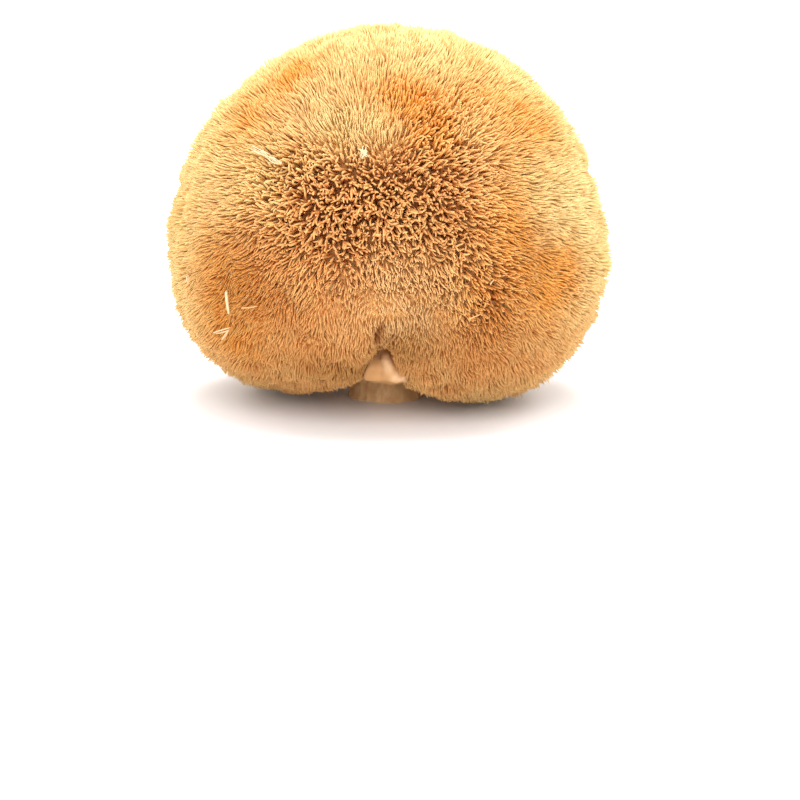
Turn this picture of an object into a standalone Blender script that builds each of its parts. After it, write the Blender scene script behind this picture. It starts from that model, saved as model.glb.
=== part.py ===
"""A dried lion's mane mushroom, cut off where it grew and resting on the cut.

The body and its spines grew as one piece, so they are one closed solid. A ball of triangular
cells is blown up to the body's form, and each cell is drawn out into one spine. The cells
under the body are drawn down instead, as the short stalk that was cut through.

+X is to the right and -Y to the front, where the fold between the two lower lobes opens.
The origin is on the surface that the mushroom rests on, under the middle of its box.
"""

import math
import random

import bmesh
import bpy
from mathutils import Vector, noise

# Size over the tips of the spines, in metres
WIDTH = 0.090
DEPTH = 0.076
HEIGHT = 0.0765

# The form is a high dome over a lower, squarer base, which meet at the widest ring
WAIST_SHARE = 0.39  # height of the widest ring as a share of the whole
DOME_POWER = 2.0  # a plain ellipse, seen from the front
BASE_POWER = 2.55
LUMP_HEIGHT = 0.0009
LUMP_SIZE = 0.024

# A wide dip in the front runs down between the lower lobes, and a narrow fold opens in it.
# Both are placed by angles below the level line that faces front.
DIP_DEPTH = 0.0050
DIP_HALF_WIDTH = 0.38  # of a direction's X, and so for the fold
DIP_START = math.radians(-12)
DIP_FULL = math.radians(50)
FOLD_DEPTH = 0.0085
FOLD_HALF_WIDTH = 0.125
FOLD_START = math.radians(8)
FOLD_FULL = math.radians(36)
FADE_START = math.radians(100)
FADE_END = math.radians(140)
FOLD_SIDE = -0.02

# The left lobe sits higher at the front than the right one
LEFT_LOBE = Vector((-0.66, -0.42, -0.62)).normalized()
LEFT_LOBE_RISE = 0.0030
LEFT_LOBE_SPREAD = math.radians(26)

# A tuft stands out on the right
TUFT = Vector((1.0, -0.16, 0.02)).normalized()
TUFT_HEIGHT = 0.0018
TUFT_SPREAD = math.radians(10)

# The hollow under the body, and the cut stalk that stands in it
HOLLOW_DEPTH = 0.0045
HOLLOW_INNER = math.radians(20)
HOLLOW_OUTER = math.radians(40)
STALK_WIDTH = 0.0160
STALK_DEPTH = 0.0155
STALK_CENTRE_Y = 0.0015
STALK_WAIST = 0.88  # width half way up, as a share of the width at the cut
STALK_INNER_SHARE = 0.85  # how near its edge the corners inside a stalk's end may come
STALK_ANGLE = math.radians(21)  # cells this near straight down belong to the stalk
FLOOR_GAP = 0.0004  # the lowest spines end this far over the cut

# The spines
CELLS = 12  # along each edge of the icosahedron, so 20 times this squared in all
CELL_JITTER = 0.20  # of a cell's width
SPINE_LENGTH = 0.0054
BACK_EXTRA = 0.0016  # they hang longer on the back
UNDER_SHARE = 0.30  # of that length, where the body rests
DIP_SHARE = 0.80
FOLD_SHARE = 0.22
FOLD_STRAIGHTEN = 0.75  # spines in the fold point out of it, not across it
HOLLOW_SHARE = 0.45
HOLLOW_SPLAY = 0.8  # spines in the hollow lean away from the stalk
DROOP_FRONT = 0.20
DROOP_BACK = 0.60
LEAN_JITTER = 0.08
LENGTH_JITTER = 0.12
SEED = 11

SPINE_COLOUR = (0.56, 0.31, 0.115, 1.0)

DOWN = Vector((0, 0, -1))


def mix(a, b, share):
    return a + (b - a) * share


def ease(low, high, value):
    """0 at low, 1 at high, and smooth between them, whichever is the larger."""
    share = min(max((value - low) / (high - low), 0.0), 1.0)
    return share * share * (3 - 2 * share)


def bell(distance, spread):
    return math.exp(-((distance / spread) ** 2))


def clear_scene():
    for old in list(bpy.data.objects):
        bpy.data.objects.remove(old, do_unlink=True)


def angle_below_front(direction):
    """0 facing front, 90 degrees facing down, 180 facing back."""
    return math.atan2(-direction.z, -direction.y)


def dip_share(direction):
    """1 along the bottom of the wide dip, 0 away from it."""
    down = angle_below_front(direction)
    along = ease(DIP_START, DIP_FULL, down) * ease(FADE_END, FADE_START, down)
    return along * bell(direction.x - FOLD_SIDE, DIP_HALF_WIDTH)


def fold_share(direction):
    """1 along the bottom of the narrow fold, 0 away from it."""
    down = angle_below_front(direction)
    along = ease(FOLD_START, FOLD_FULL, down) * ease(FADE_END, FADE_START, down)
    return along * bell(direction.x - FOLD_SIDE, FOLD_HALF_WIDTH)


def hollow_share(direction):
    """1 in the middle of the hollow under the body, 0 outside it."""
    return ease(HOLLOW_OUTER, HOLLOW_INNER, direction.angle(DOWN))


def plain_reach(direction):
    """From the middle of the widest ring to the form without its dips and lobes."""
    rise = HEIGHT * (1 - WAIST_SHARE) if direction.z > 0 else HEIGHT * WAIST_SHARE
    power = mix(DOME_POWER, BASE_POWER, ease(0.1, -0.4, direction.z))
    across = abs(direction.x / (WIDTH / 2)) ** power
    upright = abs(direction.z / rise) ** power
    front_outline = (across + upright) ** (2 / power)
    return (front_outline + (direction.y / (DEPTH / 2)) ** 2) ** -0.5


def tips_reach(direction):
    """From the same middle to the tips of the spines."""
    reach = plain_reach(direction)
    reach += LUMP_HEIGHT * noise.noise(direction * (WIDTH / 2 / LUMP_SIZE))
    reach += TUFT_HEIGHT * bell(direction.angle(TUFT), TUFT_SPREAD)
    reach -= LEFT_LOBE_RISE * bell(direction.angle(LEFT_LOBE), LEFT_LOBE_SPREAD)
    reach -= DIP_DEPTH * dip_share(direction)
    reach -= FOLD_DEPTH * fold_share(direction)
    reach -= HOLLOW_DEPTH * hollow_share(direction)
    return reach


def spine_length(direction):
    """Long on the back, short where the body rests, in the dip and in the fold."""
    length = SPINE_LENGTH + BACK_EXTRA * ease(-0.2, 0.8, direction.y)
    length *= mix(1.0, UNDER_SHARE, ease(-0.60, -0.88, direction.z))
    length *= mix(1.0, HOLLOW_SHARE, hollow_share(direction))
    length *= mix(1.0, DIP_SHARE, dip_share(direction))
    return length * mix(1.0, FOLD_SHARE, fold_share(direction))


def droop(direction):
    """How strongly a spine hangs down. At the crown it stands straight up."""
    by_side = mix(DROOP_FRONT, DROOP_BACK, ease(-0.7, 0.6, direction.y))
    return by_side * ease(0.98, 0.6, direction.z)


def ball_of_cells():
    """An icosahedron's faces cut into small triangles, as directions from its middle."""
    bm = bmesh.new()
    bmesh.ops.create_icosphere(bm, subdivisions=1, radius=1.0)
    bmesh.ops.subdivide_edges(bm, edges=bm.edges[:], cuts=CELLS - 1, use_grid_fill=True)
    for vert in bm.verts:
        vert.co = vert.co.normalized()
    return bm


def loosen_cells(bm, rng):
    """Moves the corners a little, so that the spines don't stand in rows."""
    mean_edge = sum(e.calc_length() for e in bm.edges) / len(bm.edges)
    step = CELL_JITTER * mean_edge
    for vert in bm.verts:
        away = Vector(rng.uniform(-step, step) for _ in range(3))
        vert.co = (vert.co + away).normalized()


def stalk_cells(bm):
    return [f for f in bm.faces if f.calc_center_median().angle(DOWN) < STALK_ANGLE]


def blow_up(bm):
    """Places each corner under the tips, a spine's length in."""
    for vert in bm.verts:
        direction = vert.co.normalized()
        vert.co = direction * (tips_reach(direction) - spine_length(direction))


def draw_out_spines(bm, faces, rng):
    """Pokes each cell and pulls its middle out along the spine that grows there."""
    bm.normal_update()
    tips = []
    for face in faces:
        base = face.calc_center_median()
        direction = base.normalized()
        normal = face.normal.lerp(direction, FOLD_STRAIGHTEN * fold_share(direction) ** 0.5)
        hang = DOWN - normal * normal.dot(DOWN)
        splay = Vector((direction.x, direction.y, 0)) * HOLLOW_SPLAY * hollow_share(direction)
        wobble = Vector(rng.uniform(-LEAN_JITTER, LEAN_JITTER) for _ in range(3))
        lean = (normal + hang * droop(direction) + splay + wobble).normalized()
        length = spine_length(direction) * (1 + rng.uniform(-LENGTH_JITTER, LENGTH_JITTER))
        tips.append(base + lean * length)
    poked = bmesh.ops.poke(bm, faces=faces)["verts"]
    for vert, place in zip(poked, tips):
        vert.co = place


def draw_stalk(bm, faces, width, depth, height):
    """Extrudes the cells once more and shapes their edge into an ellipse at that height."""
    drawn = bmesh.ops.extrude_face_region(bm, geom=faces)["geom"]
    bmesh.ops.delete(bm, geom=faces, context="FACES_KEEP_BOUNDARY")
    ends = [item for item in drawn if isinstance(item, bmesh.types.BMFace)]
    inside = set(ends)
    verts = [v for v in bm.verts if any(f in inside for f in v.link_faces)]
    rim = [v for v in verts if any(f not in inside for f in v.link_faces)]
    rim_reach = sum(v.co.xy.length for v in rim) / len(rim)
    middle_y = sum(v.co.y for v in rim) / len(rim)
    for vert in verts:
        spoke = Vector((vert.co.x, vert.co.y - middle_y))
        share = 1.0 if vert in rim else min(spoke.length / rim_reach, STALK_INNER_SHARE)
        spoke = spoke.normalized() * share
        vert.co = (spoke.x * width / 2, STALK_CENTRE_Y + spoke.y * depth / 2, height)
    return ends


def stand_on_stalk(bm, faces):
    """Draws the stalk down in two steps to the cut, a little below the lowest spines."""
    cut = min(v.co.z for v in bm.verts) - FLOOR_GAP
    root = sum(f.calc_center_median().z for f in faces) / len(faces)
    waist_width = STALK_WIDTH * STALK_WAIST
    waist_depth = STALK_DEPTH * STALK_WAIST
    faces = draw_stalk(bm, faces, waist_width, waist_depth, mix(cut, root, 0.5))
    draw_stalk(bm, faces, STALK_WIDTH, STALK_DEPTH, cut)


def fit_to_size(bm):
    """Brings the box over the tips to its stated size, with the cut at height 0."""
    low = Vector(min(v.co[axis] for v in bm.verts) for axis in range(3))
    high = Vector(max(v.co[axis] for v in bm.verts) for axis in range(3))
    size = high - low
    for vert in bm.verts:
        share = Vector((vert.co[axis] - low[axis]) / size[axis] for axis in range(3))
        vert.co = ((share.x - 0.5) * WIDTH, (share.y - 0.5) * DEPTH, share.z * HEIGHT)


def spine_material():
    material = bpy.data.materials.new("dried spines")
    material.use_nodes = True
    shader = material.node_tree.nodes["Principled BSDF"]
    shader.inputs["Base Color"].default_value = SPINE_COLOUR
    shader.inputs["Roughness"].default_value = 0.85
    shader.inputs["Metallic"].default_value = 0.0
    return material


def make_fruiting_body():
    rng = random.Random(SEED)
    bm = ball_of_cells()
    loosen_cells(bm, rng)
    stalk = stalk_cells(bm)
    under_stalk = set(stalk)
    blow_up(bm)
    draw_out_spines(bm, [f for f in bm.faces if f not in under_stalk], rng)
    stand_on_stalk(bm, stalk)
    fit_to_size(bm)
    bmesh.ops.triangulate(bm, faces=bm.faces[:])
    bm.normal_update()
    mesh = bpy.data.meshes.new("fruiting_body")
    bm.to_mesh(mesh)
    bm.free()
    mesh.shade_smooth()
    mesh.set_sharp_from_angle(angle=math.radians(35))
    mesh.materials.append(spine_material())
    body = bpy.data.objects.new("fruiting_body", mesh)
    bpy.context.scene.collection.objects.link(body)
    return body


clear_scene()
make_fruiting_body()
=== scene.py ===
# %% [markdown]
# # A dried lion's mane mushroom
# The real thing is a ball of light, springy flesh, and out of it grow tens of thousands of soft
# spines, about half a millimetre thick. Drying has turned them stiff and golden. The packed
# solid gives the form: its few thousand coarse spines say which way the real ones grow in each
# place and how far they reach. This script dresses it: the flesh, the fine spines, the cut
# stalk with the torn flap in front of it, and the pale broken spines that lie on the fur.

import math
from collections import namedtuple

import bmesh
import bpy
import numpy as np
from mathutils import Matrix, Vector, noise
from mathutils.bvhtree import BVHTree
from mathutils.kdtree import KDTree


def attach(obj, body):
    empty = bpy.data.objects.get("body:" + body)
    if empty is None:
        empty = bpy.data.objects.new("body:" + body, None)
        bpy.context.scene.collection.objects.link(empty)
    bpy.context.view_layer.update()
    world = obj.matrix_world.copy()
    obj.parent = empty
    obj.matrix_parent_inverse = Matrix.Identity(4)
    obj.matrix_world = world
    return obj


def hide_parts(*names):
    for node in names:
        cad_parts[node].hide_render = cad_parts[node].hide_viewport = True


MM = 0.001

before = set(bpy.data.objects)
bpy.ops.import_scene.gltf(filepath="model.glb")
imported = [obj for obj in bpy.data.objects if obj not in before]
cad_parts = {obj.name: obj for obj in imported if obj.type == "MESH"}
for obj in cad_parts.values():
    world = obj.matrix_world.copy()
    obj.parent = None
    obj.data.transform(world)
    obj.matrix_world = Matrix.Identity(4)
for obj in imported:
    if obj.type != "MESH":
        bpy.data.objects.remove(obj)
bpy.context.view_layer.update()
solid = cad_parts["fruiting_body"]

# %% [markdown]
# ## The camera
# A long lens from half a metre away shows the mushroom with little perspective. It looks down a
# little, so the crown's spines are seen from the side and the front ones end on. The camera's
# place is worked out backwards: the middle of the widest ring has to land on a known point of
# the picture, so the camera goes back from it along the line of sight through that point.

# %% The camera
LENS = 110.0
SENSOR = 36.0
PICTURE = 800  # pixels each way
PER_PIXEL = SENSOR / LENS / PICTURE
LOOK_DOWN = math.radians(13.9)
DISTANCE = 0.4956
RING_MIDDLE = Vector((0, 0, 0.0298))
RING_PIXEL = (389.5, 254.0)
FORWARD = Vector((0, math.cos(LOOK_DOWN), -math.sin(LOOK_DOWN)))
UPWARD = Vector((0, math.sin(LOOK_DOWN), math.cos(LOOK_DOWN)))
RIGHTWARD = Vector((1, 0, 0))


def sight(pixel):
    """The line of sight through a point of the picture, one unit deep."""
    right = (pixel[0] - PICTURE / 2) * PER_PIXEL
    up = (PICTURE / 2 - pixel[1]) * PER_PIXEL
    return FORWARD + RIGHTWARD * right + UPWARD * up


camera_data = bpy.data.cameras.new("camera")
camera_data.lens = LENS
camera_data.sensor_width = SENSOR
camera_data.clip_start = 10 * MM
camera = bpy.data.objects.new("camera", camera_data)
camera.location = RING_MIDDLE - sight(RING_PIXEL) * DISTANCE
camera.rotation_euler = (math.pi / 2 - LOOK_DOWN, 0, 0)
bpy.context.scene.collection.objects.link(camera)
bpy.context.scene.camera = camera
print("camera at, mm:", [round(c / MM, 1) for c in camera.location])

# %% [markdown]
# ## Reading the solid
# Each coarse spine of the solid is a little three-sided pyramid, so its tip is a corner where
# exactly three faces meet. The mesh arrives as loose triangles, so the corners of a copy are
# merged first. From each tip comes a guide: where that spine starts on the flesh, and the
# vector to its tip.

# %% Guides from the coarse spines
MERGE = 1e-6
OFF_THE_GROUND = 4e-6


def tree_of(places):
    """A tree that quickly finds the places near any point."""
    tree = KDTree(len(places))
    for number, place in enumerate(places):
        tree.insert(place, number)
    tree.balance()
    return tree


flesh_mesh = bmesh.new()
flesh_mesh.from_mesh(solid.data)
bmesh.ops.remove_doubles(flesh_mesh, verts=flesh_mesh.verts[:], dist=MERGE)
tips = [v for v in flesh_mesh.verts if len(v.link_faces) == 3 and v.co.z > OFF_THE_GROUND]

guide_base = []
guide_spine = []
for tip in tips:
    corners = [edge.other_vert(tip).co for edge in tip.link_edges]
    base = sum(corners, Vector()) / len(corners)
    guide_base.append(base)
    guide_spine.append(tip.co - base)
guide_spine = np.array([list(spine) for spine in guide_spine])
guide_tree = tree_of(guide_base)
print("guides:", len(guide_base), "mean length, mm:",
      round(float(np.linalg.norm(guide_spine, axis=1).mean()) / MM, 2))

# %% [markdown]
# ## The nap
# A fine spine follows the coarse ones around it. Its vector is a mean of the nearest guides,
# where a nearer one counts for more, so the nap of the fur turns smoothly from place to place.

# %% Vectors from the guides
NEAREST = 4
SOFT = 0.3 * MM


def nap_at(places):
    """The vector from each place on the flesh to where a spine's tip would be."""
    vectors = np.zeros((len(places), 3))
    for number, place in enumerate(places):
        closest = guide_tree.find_n(Vector(place), NEAREST)
        weights = np.array([1 / (distance + SOFT) ** 2 for _, _, distance in closest])
        vectors[number] = weights @ guide_spine[[index for _, index, _ in closest]] / weights.sum()
    return vectors


# %% [markdown]
# ## Soft spots
# The fur is different from place to place, and it changes softly. So most of what varies is
# told by spots: a point of the picture, a reach in millimetres and a strength, which fades away
# round the point. The line of sight through the point is followed until it meets the solid.
# Lists of spots shape the fur here and colour it further down.

# %% Spots on the mushroom
solid_tree = BVHTree.FromObject(solid, bpy.context.evaluated_depsgraph_get())


def spot(pixel):
    """Where the line of sight through a point of the picture meets the mushroom."""
    return solid_tree.ray_cast(camera.location, sight(pixel).normalized())[0]


def bell(places, middle, reach):
    """1 at the middle, fading away to 0 round it."""
    return np.exp(-(np.linalg.norm(places - np.array(middle), axis=1) / reach) ** 2)


def share_at(places, spots):
    """How strongly a list of spots takes hold at each place, from 0 to 1."""
    total = np.zeros(len(places))
    for pixel, reach, strength in spots:
        total += strength * bell(places, spot(pixel), reach * MM)
    return total.clip(0, 1)


def graded(usual, changed, share):
    """A measure that goes from the usual to the changed one with the share."""
    return usual + (changed - usual) * share


# %% [markdown]
# ## The flesh
# Dissolving the tips of the copy turns each pyramid back into the flat cell that it stood on,
# which leaves the ball of flesh. The stalk is taken off and the hole closed, because the stalk
# is made by itself.

# %% The flesh's mesh
STALK_MIDDLE = Vector((-0.00065, 0.00165))
STALK_ROOT = 0.0056
STALK_REACH = 8.2 * MM


def piece_from(bm, name):
    """Makes an object of a bmesh, smooth all over, and frees the bmesh."""
    mesh = bpy.data.meshes.new(name)
    bm.to_mesh(mesh)
    bm.free()
    mesh.shade_smooth()
    piece = bpy.data.objects.new(name, mesh)
    bpy.context.scene.collection.objects.link(piece)
    return piece


bmesh.ops.dissolve_verts(flesh_mesh, verts=tips)
own_stalk = [v for v in flesh_mesh.verts
             if v.co.z < STALK_ROOT and (v.co.xy - STALK_MIDDLE).length < STALK_REACH]
bmesh.ops.delete(flesh_mesh, geom=own_stalk, context="VERTS")
rim = [edge for edge in flesh_mesh.edges if edge.is_boundary]
bmesh.ops.holes_fill(flesh_mesh, edges=rim)
bmesh.ops.triangulate(flesh_mesh, faces=flesh_mesh.faces[:])
flesh = piece_from(flesh_mesh, "flesh")
print("flesh faces:", len(flesh.data.polygons), "open edges closed:", len(rim))

# %% [markdown]
# ## Where the spines grow
# The real spines crowd together at an even distance without standing in rows. Points thrown at
# random would leave bare patches and knots. Distribute Points on Faces has a Poisson mode that
# drops every point which falls too near another one. Its points come out of the modifier as the
# corners of a mesh, which Python can read.

# %% Scatter
CROWD = 6e7  # points per square metre before the crowded ones are dropped


def scatter_on(ground, spacing, seed):
    """Points on a mesh, none nearer to another than the spacing."""
    group = bpy.data.node_groups.new("scatter", "GeometryNodeTree")
    group.interface.new_socket("Geometry", in_out="INPUT", socket_type="NodeSocketGeometry")
    group.interface.new_socket("Geometry", in_out="OUTPUT", socket_type="NodeSocketGeometry")
    start = group.nodes.new("NodeGroupInput")
    points = group.nodes.new("GeometryNodeDistributePointsOnFaces")
    points.distribute_method = "POISSON"
    points.inputs["Distance Min"].default_value = spacing
    points.inputs["Density Max"].default_value = CROWD
    points.inputs["Seed"].default_value = seed
    corners = group.nodes.new("GeometryNodePointsToVertices")
    end = group.nodes.new("NodeGroupOutput")
    group.links.new(start.outputs[0], points.inputs["Mesh"])
    group.links.new(points.outputs["Points"], corners.inputs["Points"])
    group.links.new(corners.outputs["Mesh"], end.inputs[0])
    modifier = ground.modifiers.new("scatter", "NODES")
    modifier.node_group = group
    graph = bpy.context.evaluated_depsgraph_get()
    found = ground.evaluated_get(graph).data
    places = np.zeros(len(found.vertices) * 3)
    found.vertices.foreach_get("co", places)
    ground.modifiers.remove(modifier)
    return places.reshape(-1, 3)


# %% [markdown]
# In the middle of the front is the whorl, where thicker spines stand further apart, point at
# the eye and curl every way. Weaker patches of it reach up and to the right, and the spots with
# a negative strength hold it back along its upper edge, which is sharp. The scatter has the
# same spacing all over, so points are taken out of the whorl afterwards. A second, wider
# scatter gives the middles of the pits between the tufts.

# %% Sites and pits
WHORL = (((322, 205), 11.5, 1.0), ((392, 222), 13, 0.6), ((438, 190), 9, 0.5), ((452, 252), 7, 0.4),
         ((488, 298), 6, 0.8), ((300, 184), 6, 0.4), ((440, 126), 8, 0.5), ((556, 280), 6, 0.3),
         ((345, 128), 5, -0.9), ((385, 132), 5, -0.6))
SPACING = 0.37 * MM
WHORL_SPACING = 0.42 * MM
PIT_SPACING = 1.30 * MM
WHORL_PIT_SPACING = 1.75 * MM
NOT_WIDER = 1.02  # room up to this many spacings counts as the usual room
STALK_CLEAR = 8.6 * MM
CROWN_FROM = STALK_ROOT * 3  # a site over the stalk but above this is on the crown


def thinned(places, spacing, wider):
    """Clears the surroundings of each place, the widest in the middle of the whorl."""
    tree = tree_of(places)
    room = graded(spacing, wider, share_at(places, WHORL))
    kept = np.ones(len(places), dtype=bool)
    for number in np.flatnonzero(room > spacing * NOT_WIDER):
        if kept[number]:
            crowd = [other for _, other, _ in tree.find_range(Vector(places[number]), room[number])]
            kept[crowd] = False
            kept[number] = True
    return places[kept]


sites = thinned(scatter_on(flesh, SPACING, seed=5), SPACING, WHORL_SPACING)
pits = thinned(scatter_on(flesh, PIT_SPACING, seed=8), PIT_SPACING, WHORL_PIT_SPACING)
from_stalk = np.linalg.norm(sites[:, :2] - np.array(STALK_MIDDLE), axis=1)
sites = sites[(from_stalk > STALK_CLEAR) | (sites[:, 2] > CROWN_FROM)]
print("spines:", len(sites), "pits:", len(pits))

# %% [markdown]
# ## The felt
# Real spines are so crowded that nobody sees down to their roots: what shows between them is a
# felt of other spines, about half way up. So the ball of flesh is swelled along the nap until
# its skin is that felt, and only the free ends of the spines are made. The felt lies deep in
# the whorl, where the gaps look dark, and high in the velvety places near the fold, where
# hardly a gap shows.

# %% Swelling the flesh
RISE = 0.50
RISE_IN_WHORL = 0.19
RISE_IN_VELVET = 0.62
VELVET = (((405, 294), 9, 1.0), ((300, 365), 14, 0.9), ((465, 365), 15, 0.9), ((410, 345), 7, 0.7),
          ((245, 305), 13, 0.5), ((545, 312), 11, 0.35), ((345, 298), 9, 0.4))


def rise_at(places):
    """How far up the spines the felt lies, as a share of their length."""
    return (graded(RISE, RISE_IN_WHORL, share_at(places, WHORL))
            + (RISE_IN_VELVET - RISE) * share_at(places, VELVET))


skin = np.array([list(v.co) for v in flesh.data.vertices])
swell = nap_at(skin) * rise_at(skin)[:, None]
flesh.data.vertices.foreach_set("co", (skin + swell).astype(np.float32).ravel())
flesh.data.update()
print("the felt lies at, mm:", round(float(np.linalg.norm(swell, axis=1).mean()) / MM, 2))

# %% [markdown]
# ## The spines' free ends
# A free end starts at the felt and goes on along the nap. The coarse spines can't say all that
# the photo shows of its way, so it is combed: a little to the right and down over the whole
# front, and well down where the fur is velvet and short.

# %% Free ends, combed
FRONT_REACH = 40 * MM
COMB = np.array([0.08, 0, -0.08])
VELVET_COMB = np.array([0, -0.05, -0.35])
VELVET_SHORTER = 0.25


def lengths(rows):
    return np.linalg.norm(rows, axis=1)[:, None]


def unit(rows):
    return rows / lengths(rows)


whole = nap_at(sites)
rise = rise_at(sites)[:, None]
sites = sites + whole * rise
spine = whole * (1 - rise)
velvet = share_at(sites, VELVET)[:, None]
unruly = share_at(sites, WHORL)[:, None]
front = bell(sites, spot(RING_PIXEL), FRONT_REACH)[:, None]
spine += lengths(spine) * (front * COMB + velvet * VELVET_COMB)
spine *= 1 - velvet * VELVET_SHORTER
pits += nap_at(pits)
print("velvety spines:", int(velvet.sum()), "unruly spines:", int(unruly.sum()))

# %% [markdown]
# Round the whorl the spines lie down, away from its middle, as hair does round a crown, and so
# their sides show. In the whorl they turn towards the eye instead. The back, which the photo
# hides, has a calm middle where they stand up. Last, a few places at the rim reach further out
# than the rest, or less far, to follow the outline.

# %% Laid down round the whorl
WHORL_MIDDLE = (365, 215)
LAID_DOWN = 0.6
END_ON = 0.15
BACK_MIDDLE = (0.006, 0.037, 0.036)
BACK_REACH = 24 * MM
LONGER = (((555, 130), 11, 0.42), ((450, 45), 8, 0.12), ((205, 150), 14, 0.12),
          ((195, 250), 14, 0.12), ((325, 45), 6, -0.25), ((202, 332), 7, -0.25))

calm = (1 - unruly) * (1 - velvet)
calm *= 1 - bell(sites, BACK_MIDDLE, BACK_REACH)[:, None]
outward = sites - np.array(spot(WHORL_MIDDLE))
outward -= unit(whole) * np.sum(outward * unit(whole), axis=1)[:, None]
spine += lengths(spine) * unit(outward) * calm * LAID_DOWN
end_on = unruly * END_ON
to_the_eye = unit(np.array(camera.location) - sites)
spine = spine * (1 - end_on) + to_the_eye * lengths(spine) * end_on
for pixel, reach, more in LONGER:
    spine *= 1 + more * bell(sites, spot(pixel), reach * MM)[:, None]
length = lengths(spine)
print("free length, mm:", (np.percentile(length, [1, 50, 99]) / MM).round(2))

# %% [markdown]
# ## Unevenness
# No two spines are alike. Neighbours swirl together into locks, and each spine leans a little,
# bends a little and has its own length. In the whorl the spines lean and bend more, and swirl
# less. Where they are short they do less of all three. The generator of random numbers and the
# noise both get a seed, so every run grows the same fur.

# %% Swirl, lean and bend
SEED = 23
SWIRL = 2.4 * MM
SWIRL_SIZE = 3.4 * MM
SWIRL_LOST = 0.6  # in the whorl, where the lean takes over
LEAN_CALM = 0.34 * MM
LEAN_UNRULY = 0.95 * MM
BEND_CALM = 0.13 * MM
BEND_UNRULY = 0.48 * MM
LENGTH_SPREAD = 0.07
SHORTEST, LONGEST = 0.75, 1.2

rng = np.random.default_rng(SEED)
noise.seed_set(SEED)
count = len(sites)
less_if_short = (length / length.max()) ** 0.5
swirl = np.array([list(noise.noise_vector(Vector(site) / SWIRL_SIZE)) for site in sites])
spine += swirl * SWIRL * less_if_short * (1 - SWIRL_LOST * unruly)
spine += rng.normal(size=(count, 3)) * graded(LEAN_CALM, LEAN_UNRULY, unruly) * less_if_short
spine *= length / lengths(spine)
spine *= (1 + rng.normal(size=count) * LENGTH_SPREAD).clip(SHORTEST, LONGEST)[:, None]
bend = rng.normal(size=(count, 3)) * graded(BEND_CALM, BEND_UNRULY, unruly) * less_if_short
print("longest free end, mm:", round(float(lengths(spine).max()) / MM, 2))

# %% [markdown]
# ## Pits and the crease
# While they dried, neighbours stuck together at their ends and drew away from one another
# elsewhere, which opened small pits between the tufts. The pits' middles are spread over the
# fur at the height of the tips. They are widest in the whorl and close up in the velvet. A row
# of them, set among the tips by points of the picture, makes the dark crease above the fold.

# %% Pits and the crease
PIT_CALM = 0.30 * MM
PIT_UNRULY = 0.84 * MM
PIT_SPREAD = 0.25
CREASE = ((382, 352), (380, 347), (378, 343), (377, 339), (378, 335), (380, 331), (382, 327))
CREASE_WIDTH = 0.9 * MM
CREASE_ROOM = 2 * CREASE_WIDTH
CREASE_DEPTH = 0.7
TIPS_NEAR = 4.0  # pixels
FRONT_LAYER = 5 * MM


def seen(places):
    """Where each place lands in the picture, and how deep it lies behind it."""
    apart = places - np.array(camera.location)
    depth = apart @ np.array(FORWARD)
    right = PICTURE / 2 + apart @ np.array(RIGHTWARD) / depth / PER_PIXEL
    down = PICTURE / 2 - apart @ np.array(UPWARD) / depth / PER_PIXEL
    return np.stack([right, down], axis=1), depth


def among_tips(seen_tips, pixel, share):
    """A place on a line of sight, as deep as that share of the front tips round it."""
    pixels, depths = seen_tips
    there = depths[np.linalg.norm(pixels - pixel, axis=1) < TIPS_NEAR]
    depth = np.quantile(there[there < there.min() + FRONT_LAYER], share)
    return np.array(camera.location + sight(pixel) * depth)


pit_width = graded(PIT_CALM, PIT_UNRULY, share_at(pits, WHORL))
pit_width *= (1 - share_at(pits, VELVET)) * (1 + rng.normal(size=len(pits)) * PIT_SPREAD)
seen_tips = seen(sites + spine)
crease = np.array([among_tips(seen_tips, pixel, CREASE_DEPTH) for pixel in CREASE])
clear = np.linalg.norm(pits[:, None] - crease[None], axis=2).min(axis=1) > CREASE_ROOM
pits = np.concatenate([pits[clear], crease])
pit_width = np.append(pit_width[clear], [CREASE_WIDTH] * len(crease))
print("pits:", len(pits), "mean width, mm:", round(float(pit_width.mean()) / MM, 2))

# %% [markdown]
# Every tip that falls into a pit is pushed out to its rim, square to its own spine, while its
# root stays. That leaves a hole between the tips, and the tips crowd into tufts around it.

# %% Pushing the tips to the rims
pit_tree = tree_of(pits)
tip = sites + spine
nearest = np.array([pit_tree.find(place)[1] for place in tip])
away = tip - pits[nearest]
away -= spine * (np.sum(away * spine, axis=1) / np.sum(spine ** 2, axis=1))[:, None]
apart = lengths(away)
pull = away / apart * (pit_width[nearest][:, None] - apart).clip(0, None)
print("furthest push, mm:", round(float(lengths(pull).max()) / MM, 2))

# %% [markdown]
# A spine of the whorl is thicker than the others, and a velvety one thinner. Roll says which
# way a spine's sides face, and tone is a number of its own that its colour can use.

# %% Thickness, roll and tone
RADIUS_CALM = 0.19 * MM
RADIUS_UNRULY = 0.30 * MM
RADIUS_VELVET = 0.14 * MM
THICKNESS_SPREAD = 0.12
THINNEST, THICKEST = 0.7, 1.3

thickness = rng.normal(1.0, THICKNESS_SPREAD, count).clip(THINNEST, THICKEST)
thickness *= (graded(RADIUS_CALM, RADIUS_UNRULY, unruly[:, 0])
              + (RADIUS_VELVET - RADIUS_CALM) * velvet[:, 0])
roll = rng.normal(size=(count, 3))
tone = rng.uniform(size=count)
print("radius, mm:", (np.percentile(thickness, [1, 50, 99]) / MM).round(2))

# %% [markdown]
# ## One spine
# A sphere of three segments is turned into a spine by drawing it out: its lower pole becomes the
# root, its upper pole the tip, and the rings between them get the width that a spine has at
# their height. Both of its ends are closed. The spines of the whorl bend the most and are seen
# best, so they get four rings, and the tens of thousands of others get two.

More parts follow.
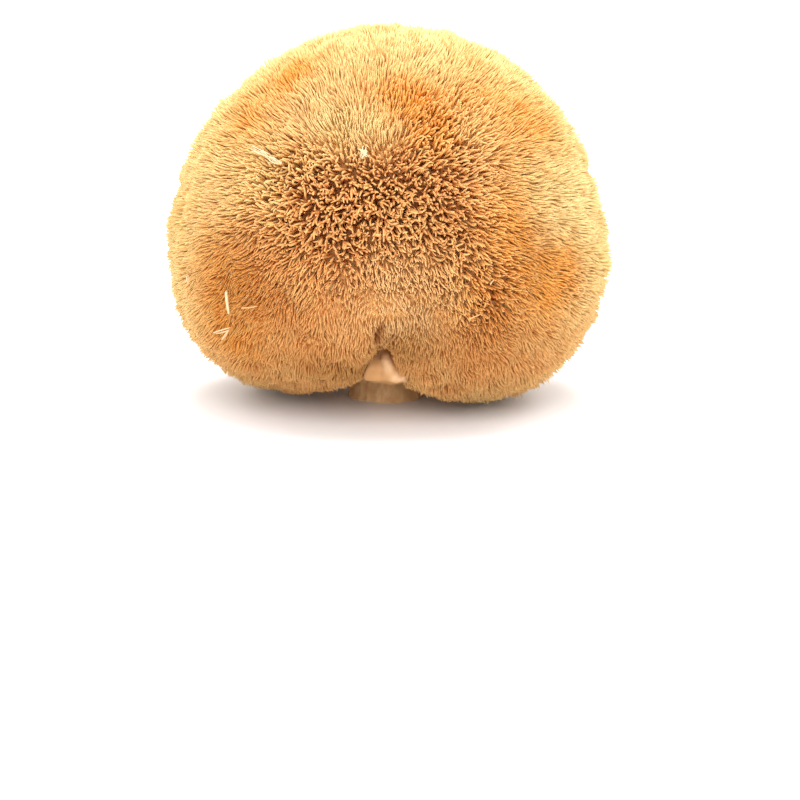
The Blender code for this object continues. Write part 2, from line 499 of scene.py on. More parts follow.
# %% The spine's shape
SIDES = 3
DIGITS = 4  # enough to tell the rings' heights apart
BENT_RINGS = ((0.10, 0.95), (0.40, 1.0), (0.70, 0.92), (0.93, 0.58))  # height, width
PLAIN_RINGS = ((0.15, 1.0), (0.78, 0.78))


def drawn_out(rings):
    """A spine one unit long and one unit thick, from pairs of a height and a width."""
    one = bmesh.new()
    bmesh.ops.create_uvsphere(one, u_segments=SIDES, v_segments=len(rings) + 1, radius=1.0)
    levels = sorted({round(v.co.z, DIGITS) for v in one.verts})
    profile = dict(zip(levels, ((0.0, 0.0), *rings, (1.0, 0.0))))
    for vert in one.verts:
        height, width = profile[round(vert.co.z, DIGITS)]
        around = vert.co.xy.normalized() * width if width else Vector((0, 0))
        vert.co = (around.x, around.y, height)
    one.normal_update()
    one.verts.index_update()
    print("one spine:", len(one.verts), "corners,", len(one.faces), "faces")
    return one


# %% [markdown]
# A finished spine is unrolled into one small cell of a map, once round from left to right and
# root to tip from bottom to top. The thousands of spines of one mesh then share a square map,
# with a cell for each, so a colour that differs from spine to spine can be kept in a picture.

# %% The spine's own map
CELL_MARGIN = 0.08

SpineKind = namedtuple("SpineKind", ("shape", "face_corners", "map_places", "face_sizes"))


def unrolled(one):
    """A kind of spine: its corners, its faces' corners by number, their places in a cell."""
    face_corners = []
    map_places = []
    for face in one.faces:
        middle = math.atan2(face.calc_center_median().y, face.calc_center_median().x)
        for vert in face.verts:
            face_corners.append(vert.index)
            turn = 0.0
            if vert.co.xy.length > 0:
                turn = (math.atan2(vert.co.y, vert.co.x) - middle + math.pi) % math.tau - math.pi
            map_places.append(((middle % math.tau + turn) / math.tau, vert.co.z))
    map_places = CELL_MARGIN + np.array(map_places) * (1 - 2 * CELL_MARGIN)
    shape = np.array([list(v.co) for v in one.verts])
    face_sizes = np.array([len(face.verts) for face in one.faces])
    one.free()
    return SpineKind(shape, np.array(face_corners), map_places, face_sizes)


bent_kind = unrolled(drawn_out(BENT_RINGS))
plain_kind = unrolled(drawn_out(PLAIN_RINGS))

# %% [markdown]
# ## Planting them
# Instances would be the quick way to plant so many, but they aren't kept in a finished model,
# so every spine is real mesh. The corners of one spine are copied for all of them at once as
# rows of an array, each row moved along its own bent line.

# %% The corners of many spines
LOWEST = 0.25 * MM
ROOT_DEPTH = 0.35 * MM
FULL_BOW = 4  # makes along * (along - 1) as long as 1 half way up
LATE_PULL = 1.7  # above 1, so the push grows towards the tip


def spine_corners(chosen, shape):
    """The corners of the chosen spines, a row for each spine."""
    along = shape[:, 2][None, :, None]
    root = sites[chosen] - unit(spine[chosen]) * ROOT_DEPTH
    reach = spine[chosen] + unit(spine[chosen]) * ROOT_DEPTH
    line = root[:, None] + reach[:, None] * along
    line = line + bend[chosen][:, None] * along * (along - 1) * FULL_BOW
    line = line + pull[chosen][:, None] * along ** LATE_PULL
    side = unit(np.cross(reach, roll[chosen]))
    other = unit(np.cross(reach, side))
    width = thickness[chosen][:, None, None]
    across = side[:, None] * shape[:, 0][None, :, None] + other[:, None] * shape[:, 1][None, :, None]
    places = line + across * width
    places[:, :, 2] = np.maximum(places[:, :, 2], LOWEST)
    return places


# %% [markdown]
# Blender takes a mesh as flat arrays: the corners' places, the faces' corners by number, and
# where each face starts among those. Each corner also notes two numbers for the finish: how far
# along its spine it is, and the spine's tone.

# %% Many spines as one mesh
def note(mesh, name, numbers):
    """Notes a number at each corner of a mesh, under a name that a material can read."""
    attribute = mesh.attributes.new(name, "FLOAT", "POINT")
    attribute.data.foreach_set("value", numbers.astype(np.float32))


def mesh_of(name, places, kind, tones):
    """One mesh of many spines, from a row of corner places for each spine."""
    spines, per_spine = places.shape[:2]
    mesh = bpy.data.meshes.new(name)
    mesh.vertices.add(spines * per_spine)
    mesh.vertices.foreach_set("co", places.astype(np.float32).ravel())
    loops = (kind.face_corners[None] + np.arange(spines)[:, None] * per_spine).ravel()
    sizes = np.tile(kind.face_sizes, spines)
    mesh.loops.add(len(loops))
    mesh.loops.foreach_set("vertex_index", loops.astype(np.int32))
    mesh.polygons.add(len(sizes))
    mesh.polygons.foreach_set("loop_start", (np.cumsum(sizes) - sizes).astype(np.int32))
    mesh.update(calc_edges=True)
    mesh.shade_smooth()
    note(mesh, "along", np.tile(kind.shape[:, 2], spines))
    note(mesh, "tone", np.repeat(tones, per_spine))
    cells = math.ceil(math.sqrt(spines))
    cell_corner = np.stack([np.arange(spines) % cells, np.arange(spines) // cells], axis=1)
    flat = (cell_corner[:, None] + kind.map_places[None]) / cells
    layer = mesh.uv_layers.new(name="OFBake")
    layer.uv.foreach_set("vector", flat.astype(np.float32).ravel())
    piece = bpy.data.objects.new(name, mesh)
    bpy.context.scene.collection.objects.link(piece)
    return piece


# %% [markdown]
# One mesh of all the spines would be too heavy to handle, so the fur is made in seven patches:
# one for each of the six ways that a place can face, and one for the whorl with its bent kind.

# %% Seven patches of spines
WHORL_EDGE = 0.2
PATCH_WAYS = {
    "spines_front": (0, -1, 0),
    "spines_back": (0, 1, 0),
    "spines_left": (-1, 0, 0),
    "spines_right": (1, 0, 0),
    "spines_crown": (0, 0, 1),
    "spines_under": (0, 0, -1),
}

way_out = unit(sites - np.array(RING_MIDDLE))
patch_of = np.argmax(way_out @ np.array(list(PATCH_WAYS.values())).T, axis=1)
patch_of[unruly[:, 0] > WHORL_EDGE] = len(PATCH_WAYS)
patches = []
for number, name in enumerate((*PATCH_WAYS, "spines_whorl")):
    kind = bent_kind if name == "spines_whorl" else plain_kind
    chosen = np.flatnonzero(patch_of == number)
    patch = mesh_of(name, spine_corners(chosen, kind.shape), kind, tone[chosen])
    patches.append(patch)
    triangles = sum(len(p.vertices) - 2 for p in patch.data.polygons)
    print(name, "spines:", len(chosen), "triangles:", triangles)

# %% [markdown]
# ## The stalk
# Where the mushroom was cut from its log a short stump of tough, stringy flesh is left. A small
# circle in the middle of the cut is extruded ring by ring: outwards over the cut face, whose
# middle shrank upwards while it dried, round the edge, and up the wall into the body. Grooves
# up the wall come from noise that depends on the angle alone, so they run through all the
# rings. Lumps swell the wall, and the cut face has dimples.

# %% The stalk's mesh
STALK_HALF_WIDTH = 8.0 * MM
STALK_HALF_DEPTH = 7.75 * MM
CUT_RINGS = ((0.55, 0.10), (0.50, 0.30), (0.42, 0.50), (0.25, 0.68), (0.08, 0.84), (0.0, 0.96))
WALL_RINGS = ((0.25, 1.0), (0.9, 0.99), (1.6, 0.97), (2.5, 0.94), (3.4, 0.91), (4.4, 0.89),
              (5.4, 0.88), (6.7, 0.88), (8.0, 0.90), (12.0, 0.94))  # height in mm, share of width
STALK_CORNERS = 96
GROOVE = 0.09
GROOVES = 3.4
LUMP = 0.5 * MM
LUMP_SIZE = 2.6 * MM
DIMPLE = 0.25 * MM
DIMPLE_SIZE = 1.6 * MM
SHARP = math.radians(40)


def stalk_ring(verts, height, share):
    """Puts a ring of corners at its height, and in or out by its share of the half width."""
    for vert in verts:
        way = (vert.co.xy - STALK_MIDDLE).normalized()
        around = Vector((way.x, way.y, 0)) * GROOVES
        depth = 1 - GROOVE * abs(noise.noise(around)) * 2 * share
        vert.co.x = STALK_MIDDLE.x + way.x * STALK_HALF_WIDTH * share * depth
        vert.co.y = STALK_MIDDLE.y + way.y * STALK_HALF_DEPTH * share * depth
        vert.co.z = height * MM
        if height > WALL_RINGS[0][0]:
            vert.co += Vector((way.x, way.y, 0)) * LUMP * (noise.noise(vert.co / LUMP_SIZE) - 0.5)
        if 0 < height < CUT_RINGS[0][0] and share < CUT_RINGS[-1][1]:
            vert.co.z = max(0.0, vert.co.z + DIMPLE * noise.noise(vert.co / DIMPLE_SIZE))


bm = bmesh.new()
bmesh.ops.create_circle(bm, segments=STALK_CORNERS, radius=MM, cap_ends=True)
bmesh.ops.translate(bm, verts=bm.verts[:], vec=STALK_MIDDLE.to_3d())
ring = list(bm.edges)
stalk_ring(bm.verts, *CUT_RINGS[0])
for height, share in (*CUT_RINGS[1:], *WALL_RINGS):
    made = bmesh.ops.extrude_edge_only(bm, edges=ring)["geom"]
    ring = [item for item in made if isinstance(item, bmesh.types.BMEdge)]
    stalk_ring([item for item in made if isinstance(item, bmesh.types.BMVert)], height, share)
bmesh.ops.contextual_create(bm, geom=ring)
bmesh.ops.recalc_face_normals(bm, faces=bm.faces[:])
stalk = piece_from(bm, "stalk")
stalk.data.set_sharp_from_angle(angle=SHARP)
print("stalk faces:", len(stalk.data.polygons))

# %% [markdown]
# ## The torn flap
# In the fold, in front of the stalk, hangs a tongue of torn flesh. Its point is stuck in the top
# of the fold, and near its right edge it has dried into a raised lip, pale partly in its own colour
# and partly with a painted highlight. It is a grid whose rows are put on lines of sight, so that
# it shows in the right place, each row at its own depth.
# The last rows run back under it and into the stalk. Solidify gives it a thickness.

# %% The flap's mesh
FLAP_LEFT = ((380, 349), (372, 359), (366, 368), (364, 376), (371, 379), (375, 379))
FLAP_RIGHT = ((386, 349), (393, 359), (400, 368), (408, 378), (400, 381), (394, 380))
FLAP_DEPTH = (-19.0, -20.5, -21.0, -20.5, -13.0, -4.0)  # y of each row, mm
FLAP_GAPS = len(FLAP_DEPTH) - 1
FLAP_ACROSS = 14
FLAP_THICK = 0.7 * MM
FLAP_LIP = 1.3 * MM
LIP_PLACE, LIP_WIDTH = 0.68, 0.13  # across the flap, from 0 to 1
WRINKLE = 0.35 * MM
WRINKLE_SIZE = 1.3 * MM


def on_plane(pixel, y):
    """Where the line of sight through a point of the picture crosses the plane at y."""
    way = sight(pixel)
    return camera.location + way * ((y - camera.location.y) / way.y)


def between(rows, down):
    """A value part of the way from one row to the next."""
    row = min(int(down), len(rows) - 2)
    return rows[row] * (1 - down + row) + rows[row + 1] * (down - row)


left_edge = [Vector(pixel) for pixel in FLAP_LEFT]
right_edge = [Vector(pixel) for pixel in FLAP_RIGHT]
bm = bmesh.new()
bmesh.ops.create_grid(bm, x_segments=FLAP_ACROSS, y_segments=3 * FLAP_GAPS, size=0.5)
for vert in bm.verts:
    across = vert.co.x + 0.5
    down = (0.5 - vert.co.y) * FLAP_GAPS
    pixel = between(left_edge, down).lerp(between(right_edge, down), across)
    vert.co = on_plane(pixel, between(FLAP_DEPTH, down) * MM)
    vert.co.y -= FLAP_LIP * math.exp(-((across - LIP_PLACE) / LIP_WIDTH) ** 2) * min(1.0, down)
    vert.co += WRINKLE * noise.noise_vector(vert.co / WRINKLE_SIZE)
bmesh.ops.recalc_face_normals(bm, faces=bm.faces[:])
bmesh.ops.solidify(bm, geom=bm.faces[:], thickness=FLAP_THICK)
bmesh.ops.recalc_face_normals(bm, faces=bm.faces[:])
flap = piece_from(bm, "torn_flap")
print("flap faces:", len(flap.data.polygons))

# %% [markdown]
# ## Broken spines
# A few spines have broken off and lie on the fur, some alone and some in wisps. Each one is a
# spine like the others, laid near a line from one point of the picture to another. Its ends
# rest on the tips that the line of sight meets first, so it lies on top of the fur and doesn't
# float. Each wisp has its own thickness and whiteness, because a few have bleached and others
# are still as brown as the fur.

# %% Loose spines
WISPS = (  # from, to, strands, radius in mm, whiteness
    ((247, 145), (280, 163), 12, 0.07, 0.9),
    ((266, 156), (281, 163), 7, 0.11, 1.0),
    ((359, 149), (369, 157), 8, 0.10, 0.8),
    ((366, 147), (363, 160), 8, 0.11, 0.9),
    ((226, 290), (229, 315), 1, 0.34, 0.65),
    ((213, 334), (231, 328), 2, 0.18, 0.45),
    ((220, 342), (229, 327), 2, 0.18, 0.5),
    ((187, 274), (188, 283), 3, 0.13, 0.65),
    ((240, 308), (258, 306), 1, 0.15, 0.1),
    ((468, 319), (481, 314), 1, 0.15, 0.1),
    ((489, 285), (495, 280), 2, 0.10, 0.3),
)
WISP_WIDTH = 2.2  # pixels
WISP_CURL = 0.22 * MM
STARTS_BY, ENDS_FROM = 0.9, 0.1  # shares of the line, for a wisp of very many strands
CROWDING = 0.3  # how fast a wisp comes near that as strands are added

seen_tips = seen(sites + spine + pull)
shape = bent_kind.shape
along = shape[:, 2:]
rows = []
whiteness = []
for start, end, strands, radius, white in WISPS:
    start, way = np.array(start), np.subtract(end, start)
    held = STARTS_BY / strands ** CROWDING
    for _ in range(strands):
        shift = rng.normal(size=(2, 2)) * WISP_WIDTH * (1 - 1 / strands ** 0.5)
        root = among_tips(seen_tips, start + way * rng.uniform(0, STARTS_BY - held) + shift[0], 0)
        point = among_tips(seen_tips, start + way * rng.uniform(ENDS_FROM + held, 1) + shift[1], 0)
        reach = point - root
        side = unit(np.cross(reach, np.array(FORWARD))[None])
        lift = unit(np.cross(side, reach))
        bow = side * rng.normal() * WISP_CURL * FULL_BOW * along * (1 - along)
        across = (side * shape[:, :1] + lift * shape[:, 1:2]) * radius * MM
        rows.append(root + reach * along + bow + across)
        whiteness.append(white)
loose = mesh_of("broken_spines", np.array(rows), bent_kind, np.array(whiteness))
print("broken spines:", len(rows))

# %% [markdown]
# ## Writing materials as sums
# A material's nodes are easier to read as a formula. This small class wraps a socket, and each
# sum, product or power of it adds the Math node that works it out. Any other node comes from
# its method called node, which sets the node's own settings before its sockets.

# %% A socket to reckon with
class Wire:
    def __init__(self, socket):
        self.socket = socket

    def node(self, kind, settings=None, sockets=None, out=0):
        tree = self.socket.id_data
        made = tree.nodes.new(kind)
        for key, value in (settings or {}).items():
            setattr(made, key, value)
        for key, value in (sockets or {}).items():
            if isinstance(value, Wire):
                tree.links.new(value.socket, made.inputs[key])
            else:
                made.inputs[key].default_value = value
        return Wire(made.outputs[out])

    def maths(self, operation, first, second=0.0):
        return self.node("ShaderNodeMath", {"operation": operation}, {0: first, 1: second})

    def __add__(self, other):
        return self.maths("ADD", self, other)

    def __radd__(self, other):
        return self.maths("ADD", other, self)

    def __sub__(self, other):
        return self.maths("SUBTRACT", self, other)

    def __rsub__(self, other):
        return self.maths("SUBTRACT", other, self)

    def __mul__(self, other):
        return self.maths("MULTIPLY", self, other)

    def __rmul__(self, other):
        return self.maths("MULTIPLY", other, self)

    def __truediv__(self, other):
        return self.maths("DIVIDE", self, other)

    def __rtruediv__(self, other):
        return self.maths("DIVIDE", other, self)

    def __pow__(self, other):
        return self.maths("POWER", self, other)

    def __rpow__(self, other):
        return self.maths("POWER", other, self)

    def feed(self, name):
        """Links this value to a socket of the material's shader."""
        shader = self.socket.id_data.nodes["Principled BSDF"]
        self.socket.id_data.links.new(self.socket, shader.inputs[name])


# %% [markdown]
# ## Words for the materials
# A few short functions say what the finishes of this mushroom are made of: colours mixed by a
# share, clouds, soft spots and low relief. They all work on the place on the piece, in metres,
# so a pattern stays on the mushroom whichever way it is turned.

# %% Words for the materials
def new_material(name, **constants):
    """A material, and a wire to start its nodes from: the place on the piece."""
    material = bpy.data.materials.new(name)
    material.use_nodes = True
    shader = material.node_tree.nodes["Principled BSDF"]
    for key, value in constants.items():
        shader.inputs[key.replace("_", " ")].default_value = value
    coordinates = material.node_tree.nodes.new("ShaderNodeTexCoord")
    return material, Wire(coordinates.outputs["Object"])


def dress(pieces, material):
    """Gives the pieces their material."""
    for piece in pieces:
        piece.data.materials.append(material)
    print(material.name, "nodes:", len(material.node_tree.nodes), "pieces:", len(pieces))


def colour_mix(low, high, share):
    """From one colour to the other as the share goes from 0 to 1."""
    settings = {"data_type": "RGBA", "clamp_factor": True}
    return share.node("ShaderNodeMix", settings, {0: share, 6: low, 7: high}, out=2)


def multiply(first, second):
    settings = {"data_type": "RGBA", "blend_type": "MULTIPLY"}
    return first.node("ShaderNodeMix", settings, {0: 1.0, 6: first, 7: second}, out=2)


def noise_at(place, grain, detail=2.0):
    """Cloudy values from 0 to 1, with clouds about as wide as the grain, in metres."""
    return place.node("ShaderNodeTexNoise", None, {"Vector": place, "Scale": 1 / grain, "Detail": detail})


def spread(value, low, high):
    """0 at low, 1 at high, smooth between them."""
    settings = {"interpolation_type": "SMOOTHSTEP"}
    return value.node("ShaderNodeMapRange", settings, {"Value": value, "From Min": low, "From Max": high})


def height_of(place):
    return place.node("ShaderNodeSeparateXYZ", None, {0: place}, out="Z")


def near(place, middle, reach):
    """1 at a point of the piece, fading to 0 round it."""
    apart = place.node("ShaderNodeVectorMath", {"operation": "DISTANCE"}, {0: place, 1: middle}, out="Value")
    return math.e ** ((apart / reach) ** 2 * -1)


def in_spots(place, spots):
    """The sum of soft spots, as share_at reckons it for the shape."""
    return sum((near(place, spot(pixel), reach * MM) * strength for pixel, reach, strength in spots), 0)


def noted(place, name):
    """The number that the corners of a piece note under a name."""
    return place.node("ShaderNodeAttribute", {"attribute_name": name}, None, out="Fac")


def relief(height, strength, depth):
    """Low relief, from a height between 0 and 1."""
    return height.node("ShaderNodeBump", None, {"Strength": strength, "Distance": depth, "Height": height})


# %% [markdown]
# ## The finish of the spines
# A dried spine is brown where it is rooted and lighter at its tip: partly its own colour, partly
# painted shade at the roots among the spines and painted light through the thin tip. Across the
# mushroom the tone drifts: tan in the middle of the front and of the back, straw at the crown and
# round the sides, partly the fur's own tone and partly painted light on the crown and sides, with
# painted shade low on the lobes. On that lie warm orange and rust where it dried darker, frosted
# paler places, a pale tan velvet, painted shade in brown on the lower lobes and round the fold, and
# painted shade in dark brown along the crease.

# %% The colours of the fur
STRAW = (0.95, 0.70, 0.305, 1)
TAN = (0.88, 0.485, 0.185, 1)
ORANGE = (0.92, 0.43, 0.085, 1)
# Painted shade on the lower lobes.
LOBE_SHADE_BROWN = (0.74, 0.34, 0.11, 1)
CREAM = (0.96, 0.76, 0.40, 1)
FROST = (0.98, 0.78, 0.38, 1)
VELVET_TAN = (0.92, 0.60, 0.28, 1)
RUST = (0.62, 0.23, 0.045, 1)
# Painted shade round the fold.
FOLD_SHADE_BROWN = (0.53, 0.25, 0.075, 1)
LOCK_BROWN = (0.74, 0.42, 0.14, 1)
# Painted shade for the crease above the fold.
CREASE_SHADE_BROWN = (0.34, 0.13, 0.04, 1)
# Painted shade at the roots among the spines.
ROOT_SHADE_TINT = (0.86, 0.68, 0.48, 1)
WHITE = (1, 1, 1, 1)

# %% Where they lie
# Where the painted shade lies on the lower lobes.
LOBE_SHADE_SPOTS = (((270, 345), 14, 1), ((490, 350), 16, 0.75))
ORANGE_SPOTS = (((298, 80), 5, 1.3), ((255, 125), 5, 0.6), ((405, 108), 7, 0.6), ((535, 130), 6, 0.9),
                ((505, 103), 6, 0.5), ((470, 98), 5, 0.5), ((432, 138), 5, 0.8), ((478, 300), 6, 0.7),
                ((562, 266), 5, 1.0), ((545, 292), 7, 0.8), ((518, 272), 7, 0.6), ((505, 222), 7, 0.9),
                ((228, 268), 8, 0.7), ((238, 305), 7, 0.5), ((232, 330), 7, 0.8), ((185, 215), 11, 0.25),
                ((258, 112), 9, 0.35), ((392, 100), 5, 0.5), ((430, 104), 6, 0.4), ((508, 142), 6, 0.5),
                ((468, 62), 5, 0.35))
FROST_SPOTS = (((425, 58), 8, 0.45), ((575, 205), 8, 0.9), ((555, 188), 5, 0.5), ((550, 222), 6, 0.5),
               ((325, 118), 7, 1.0), ((350, 137), 6, 1.2), ((388, 138), 4, 0.6), ((390, 298), 7, 0.6))
RUST_SPOTS = (((498, 302), 6, 0.9), ((480, 334), 5, 0.6), ((228, 280), 9, 0.35), ((245, 318), 8, 0.4),
              ((340, 262), 9, 0.2), ((250, 262), 7, 0.3), ((450, 255), 7, 0.25), ((388, 335), 4, 0.6),
              ((566, 278), 4, 0.6), ((530, 254), 6, 0.5), ((275, 300), 6, 0.3))
VELVET_TAN_SPOTS = (((405, 292), 9, 1), ((408, 335), 5, 0.6))
# Where the painted shade lies round the fold.
FOLD_SHADE_SPOTS = (((428, 335), 7, 0.6), ((402, 342), 5, 0.8), ((366, 360), 4, 0.9), ((345, 364), 5, 0.6),
              ((325, 362), 6, 0.4))

# %% Straw and tan
DRIFT_SIZE = 14 * MM
TAN_MIDDLE = (368, 240)
TAN_REACH, TAN_REACH_BEHIND = 27 * MM, 24 * MM
TAN_BEHIND = 0.7
TAN_BELOW = 0.5
LOBE_BOTTOM, LOBE_TOP = 6 * MM, 34 * MM
PALE_FROM, PALE_TO = 0.25, 0.95


def paleness_and_painted_light(place, drift):
    """0 in the middle of the front and of the back, 1 at the crown and round the sides: partly the fur's own
    tone, partly painted light on the crown and sides and painted shade low down.
    """
    middle = near(place, spot(TAN_MIDDLE), TAN_REACH)
    middle += near(place, BACK_MIDDLE, TAN_REACH_BEHIND) * TAN_BEHIND
    # Painted shade low on the lobes.
    low = 1 - spread(height_of(place), LOBE_BOTTOM, LOBE_TOP)
    return spread(1 - middle - low * TAN_BELOW + drift, PALE_FROM, PALE_TO)


# %% [markdown]
# The crease is given painted shade in dark brown by the same row of places that opened it.
# Distances from it count less from front to back than up and across, so the painted shade reaches
# deep among the spines.

# %% The crease's painted shade
CREASE_SQUASH = 0.2
CREASE_REACH = 0.8 * MM


def crease_shade(place):
    """Painted shade: 1 along the crease above the fold, however deep among the spines."""
    squashed = {0: place, 1: (1, CREASE_SQUASH, 1)}
    flat = place.node("ShaderNodeVectorMath", {"operation": "MULTIPLY"}, squashed)
    return sum((near(flat, (x, y * CREASE_SQUASH, z), CREASE_REACH) for x, y, z in crease.tolist()), 0)


# %% Spine material
OWN_IN_ORANGE, DRIFT_IN_ORANGE = 0.2, 0.6
DRIFT_IN_FROST = 0.7
RUST_LEAST, RUST_OWN = 0.7, 0.6
FOLD_SHADE_LEAST, FOLD_SHADE_OWN = 0.8, 0.4
LOCK_SIZE, LOCK_DETAIL = 2.4 * MM, 1.5
LOCK_FROM, LOCK_TO, LOCK_STRENGTH = 0.46, 0.72, 0.5
CREAM_FROM, CREAM_STRENGTH = 0.75, 0.3
OWN_IN_LIGHT, PALE_IN_LIGHT, FROST_IN_LIGHT = 0.3, 0.6, 0.4
LIGHT_FROM = 0.85  # how far along a spine is as light as its tip
CREASE_SHADE_STRENGTH = 0.75

spine_material, place = new_material("dried spines", Roughness=0.65, Specular_IOR_Level=0.1)
along = noted(place, "along")
own = noted(place, "tone")
drift = noise_at(place, DRIFT_SIZE) - 0.5
# Pale at the crown and round the sides, partly painted light.
pale = paleness_and_painted_light(place, drift)
hue = colour_mix(TAN, STRAW, pale)
# Painted shade on the lower lobes.
hue = colour_mix(hue, LOBE_SHADE_BROWN, in_spots(place, LOBE_SHADE_SPOTS))
hue = colour_mix(hue, ORANGE, in_spots(place, ORANGE_SPOTS)
                 + (drift + own * OWN_IN_ORANGE) * DRIFT_IN_ORANGE)
frosted = in_spots(place, FROST_SPOTS)
hue = colour_mix(hue, FROST, (frosted + drift) * DRIFT_IN_FROST)
hue = colour_mix(hue, RUST, in_spots(place, RUST_SPOTS) * (RUST_LEAST + own * RUST_OWN))
hue = colour_mix(hue, VELVET_TAN, in_spots(place, VELVET_TAN_SPOTS))
# Painted shade round the fold.
hue = colour_mix(hue, FOLD_SHADE_BROWN, in_spots(place, FOLD_SHADE_SPOTS) * (FOLD_SHADE_LEAST + own * FOLD_SHADE_OWN))
locks = noise_at(place, LOCK_SIZE, LOCK_DETAIL)
hue = colour_mix(hue, LOCK_BROWN, spread(locks, LOCK_FROM, LOCK_TO) * LOCK_STRENGTH)
# Cream tips where the fur is pale, partly painted light at the rims.
hue = colour_mix(hue, CREAM, spread(along, CREAM_FROM, 1.0) * CREAM_STRENGTH * pale)
# Painted shade at the roots among the spines, lifted where the fur is pale or frosted.
light = (spread(along + (own - 0.5) * OWN_IN_LIGHT, 0.0, LIGHT_FROM)
         + pale * PALE_IN_LIGHT + frosted * FROST_IN_LIGHT)
shade = colour_mix(ROOT_SHADE_TINT, WHITE, light)
# Painted shade along the crease above the fold.
hue = colour_mix(hue, CREASE_SHADE_BROWN, crease_shade(place) * CREASE_SHADE_STRENGTH)
multiply(hue, shade).feed("Base Color")
dress(patches, spine_material)

# %% [markdown]
# ## The finish of the broken spines
# They go from brown to chalky white by the whiteness of their wisp, with a little cloud in it.

# %% Broken spines' material
CHALK_BROWN = (0.76, 0.39, 0.15, 1)
CHALK_WHITE = (0.84, 0.71, 0.45, 1)
CHALK_GRAIN = 0.8 * MM
CHALK_CLOUD = 0.5

loose_material, place = new_material("broken spines", Roughness=0.7, Specular_IOR_Level=0.1)
chalk = noted(place, "tone") + (noise_at(place, CHALK_GRAIN) - 0.5) * CHALK_CLOUD
colour_mix(CHALK_BROWN, CHALK_WHITE, chalk).feed("Base Color")
dress([loose], loose_material)

# %% [markdown]
# ## The finish of the felt
# Of the flesh only the felt shows, as the ground between the free ends. It goes with the fur
# above it: tan to straw, partly painted light as on the spines. It has painted shade in dark brown
# in the whorl's gaps, in brown round the fold and in the crease, and in rust low down, where the
# lobes curl under.

# %% Felt material
FELT_TAN = (0.80, 0.44, 0.14, 1)
FELT_STRAW = (0.98, 0.70, 0.30, 1)
# Painted shade in the gaps of the whorl.
FELT_SHADE_DARK = (0.36, 0.14, 0.04, 1)
FELT_GRAIN = 1.2 * MM
# Painted shade low down, where the lobes curl under.
LOW_SHADE_BOTTOM, LOW_SHADE_TOP, LOW_SHADE_RUST = 4 * MM, 16 * MM, 0.6

flesh_material, place = new_material("flesh", Roughness=0.8)
grain = noise_at(place, FELT_GRAIN, detail=4)
# Pale at the crown and round the sides, partly painted light.
pale = paleness_and_painted_light(place, noise_at(place, DRIFT_SIZE) - 0.5)
felt = colour_mix(FELT_TAN, FELT_STRAW, pale + (grain - 0.5))
# Painted shade in the gaps of the whorl.
felt = colour_mix(felt, FELT_SHADE_DARK, in_spots(place, WHORL))
# Painted shade round the fold.
felt = colour_mix(felt, FOLD_SHADE_BROWN, in_spots(place, FOLD_SHADE_SPOTS))
# Painted shade low down, where the lobes curl under.
felt = colour_mix(felt, RUST, (1 - spread(height_of(place), LOW_SHADE_BOTTOM, LOW_SHADE_TOP)) * LOW_SHADE_RUST)
# Painted shade along the crease above the fold.
colour_mix(felt, CREASE_SHADE_BROWN, crease_shade(place)).feed("Base Color")
dress([flesh], flesh_material)

# %% [markdown]
# ## The finish of the stalk
# Fibres run up the stump's wall as fine light and dark lines, which noise makes when it is
# stretched upwards, and brown blotches stain it. The cut is pale straw, darker towards the
# middle, where it dried last.

# %% Stalk material
WALL_BROWN = (0.68, 0.40, 0.17, 1)
WALL_STRAW = (0.80, 0.52, 0.26, 1)
WALL_STAIN = (0.60, 0.31, 0.12, 1)
CUT_STRAW = (0.84, 0.62, 0.34, 1)
CUT_BROWN = (0.62, 0.37, 0.15, 1)
FIBRE_STRETCH = (1, 1, 0.35)
FIBRE_SIZE, FIBRE_RELIEF = 0.7 * MM, 0.3 * MM
FIBRE_FROM, FIBRE_TO = 0.3, 0.75
BLOTCH_SIZE = 3 * MM
STAIN_FROM, STAIN_TO, STAIN_STRENGTH = 0.4, 0.7, 0.8
CORE_REACH, CORE_CLOUD = 5 * MM, 0.8
EDGE_FROM, EDGE_TO = 0.02 * MM, 0.3 * MM  # between these heights the cut turns into the wall

stalk_material, place = new_material("stalk", Roughness=0.75)
stretched = place.node("ShaderNodeMapping", None, {"Vector": place, "Scale": FIBRE_STRETCH})
fibres = noise_at(stretched, FIBRE_SIZE, detail=4)
blotches = noise_at(place, BLOTCH_SIZE, detail=3)
wall = colour_mix(WALL_BROWN, WALL_STRAW, spread(fibres, FIBRE_FROM, FIBRE_TO))
wall = colour_mix(wall, WALL_STAIN, spread(blotches, STAIN_FROM, STAIN_TO) * STAIN_STRENGTH)
core = near(place, (*STALK_MIDDLE, 0), CORE_REACH)
cut = colour_mix(CUT_STRAW, CUT_BROWN, core + (blotches - 0.5) * CORE_CLOUD)
colour_mix(cut, wall, spread(height_of(place), EDGE_FROM, EDGE_TO)).feed("Base Color")
relief(fibres, strength=0.5, depth=FIBRE_RELIEF).feed("Normal")
dress([stalk], stalk_material)

# %% [markdown]
# ## The finish of the flap
# Torn flesh dries to a cloudy brown skin. It has painted shadow at its point, in the top of the
# fold, and it is palest along the raised lip, which is marked by four points on its ridge: partly
# its own colour and partly a painted highlight.

# %% Flap material
SKIN_BROWN = (0.50, 0.24, 0.08, 1)
SKIN_TAN = (0.74, 0.40, 0.16, 1)
# Painted shadow at the flap's point.
SKIN_SHADOW = (0.34, 0.15, 0.05, 1)
# Pale lip, partly its own colour and partly a painted highlight.
LIP_PALE_HIGHLIGHT = (0.90, 0.58, 0.32, 1)
SKIN_CLOUD = 2.4 * MM
SKIN_RELIEF = 0.3 * MM
RIDGE = ((1, (386, 359)), (2, (389, 368)), (3, (395, 377)), (3, (402, 378)))  # row, pixel
RIDGE_REACH = 1.0 * MM
POINT = (380, 353)
POINT_REACH = 2.4 * MM

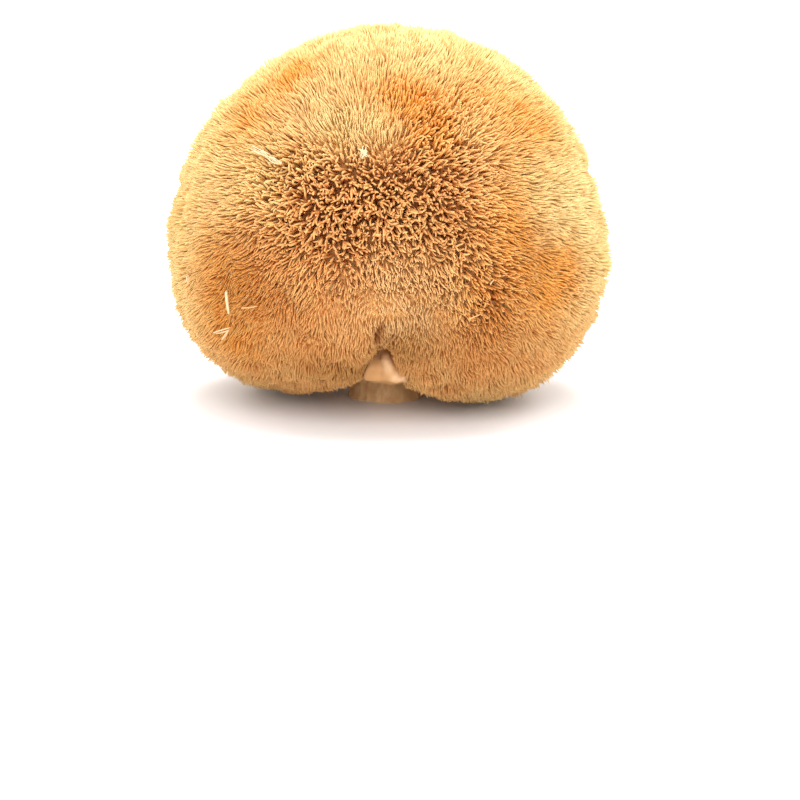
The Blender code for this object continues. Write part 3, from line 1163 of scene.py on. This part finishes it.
flap_material, place = new_material("torn flesh", Roughness=0.7)
cloud = noise_at(place, SKIN_CLOUD, detail=5)
ridge = [on_plane(pixel, FLAP_DEPTH[row] * MM - FLAP_LIP) for row, pixel in RIDGE]
# Pale along the ridge, partly a painted highlight.
lip = sum((near(place, tuple(point), RIDGE_REACH) for point in ridge), 0)
skin = colour_mix(SKIN_BROWN, SKIN_TAN, cloud)
# Painted shadow at the point, in the top of the fold.
shadow = near(place, tuple(on_plane(POINT, FLAP_DEPTH[0] * MM)), POINT_REACH)
skin = colour_mix(skin, SKIN_SHADOW, shadow)
colour_mix(skin, LIP_PALE_HIGHLIGHT, lip).feed("Base Color")
relief(cloud, strength=0.4, depth=SKIN_RELIEF).feed("Normal")
dress([flap], flap_material)

# %% [markdown]
# ## Floor and light
# A studio for small things: a pale floor that runs out of the picture, an even white sky, a
# broad soft lamp high in front, another one overhead that brightens the crown, and two behind
# that light up the fringe of spines.

# %% Floor
FLOOR_HALF = 4.0
FLOOR_GREYS = ((0.90, 0.90, 0.90, 1), (0.93, 0.93, 0.93, 1))
FLOOR_CLOUD = 0.5

floor_mesh = bmesh.new()
bmesh.ops.create_grid(floor_mesh, x_segments=1, y_segments=1, size=FLOOR_HALF)
floor = piece_from(floor_mesh, "floor")
floor_material, place = new_material("floor", Roughness=0.9)
colour_mix(*FLOOR_GREYS, noise_at(place, FLOOR_CLOUD)).feed("Base Color")
dress([floor], floor_material)

# %% Light
SKY = 1.15
LAMPS = (  # name, place, watts, width in metres
    ("front lamp", (-0.05, -0.60, 0.50), 3.0, 0.60),
    ("top lamp", (0, 0.10, 0.80), 4.2, 0.50),
    ("left rim lamp", (-0.45, 0.40, 0.45), 0.8, 0.30),
    ("right rim lamp", (0.45, 0.40, 0.40), 1.8, 0.30),
)

world = bpy.data.worlds.new("studio")
world.use_nodes = True
world.node_tree.nodes["Background"].inputs["Color"].default_value = WHITE
world.node_tree.nodes["Background"].inputs["Strength"].default_value = SKY
bpy.context.scene.world = world
bpy.context.scene.view_settings.view_transform = "Standard"
for name, at, watts, width in LAMPS:
    data = bpy.data.lights.new(name, "AREA")
    data.energy = watts
    data.size = width
    lamp = bpy.data.objects.new(name, data)
    lamp.location = at
    lamp.rotation_euler = (RING_MIDDLE - lamp.location).to_track_quat("-Z", "Y").to_euler()
    bpy.context.scene.collection.objects.link(lamp)
print("lamps:", len(LAMPS))

# %% [markdown]
# ## Handing over
# Every piece rides on the mushroom's one body and stands for its one solid.

# %% Pieces
for piece in (flesh, stalk, flap, loose, *patches):
    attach(piece, "root")
    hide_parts("fruiting_body")
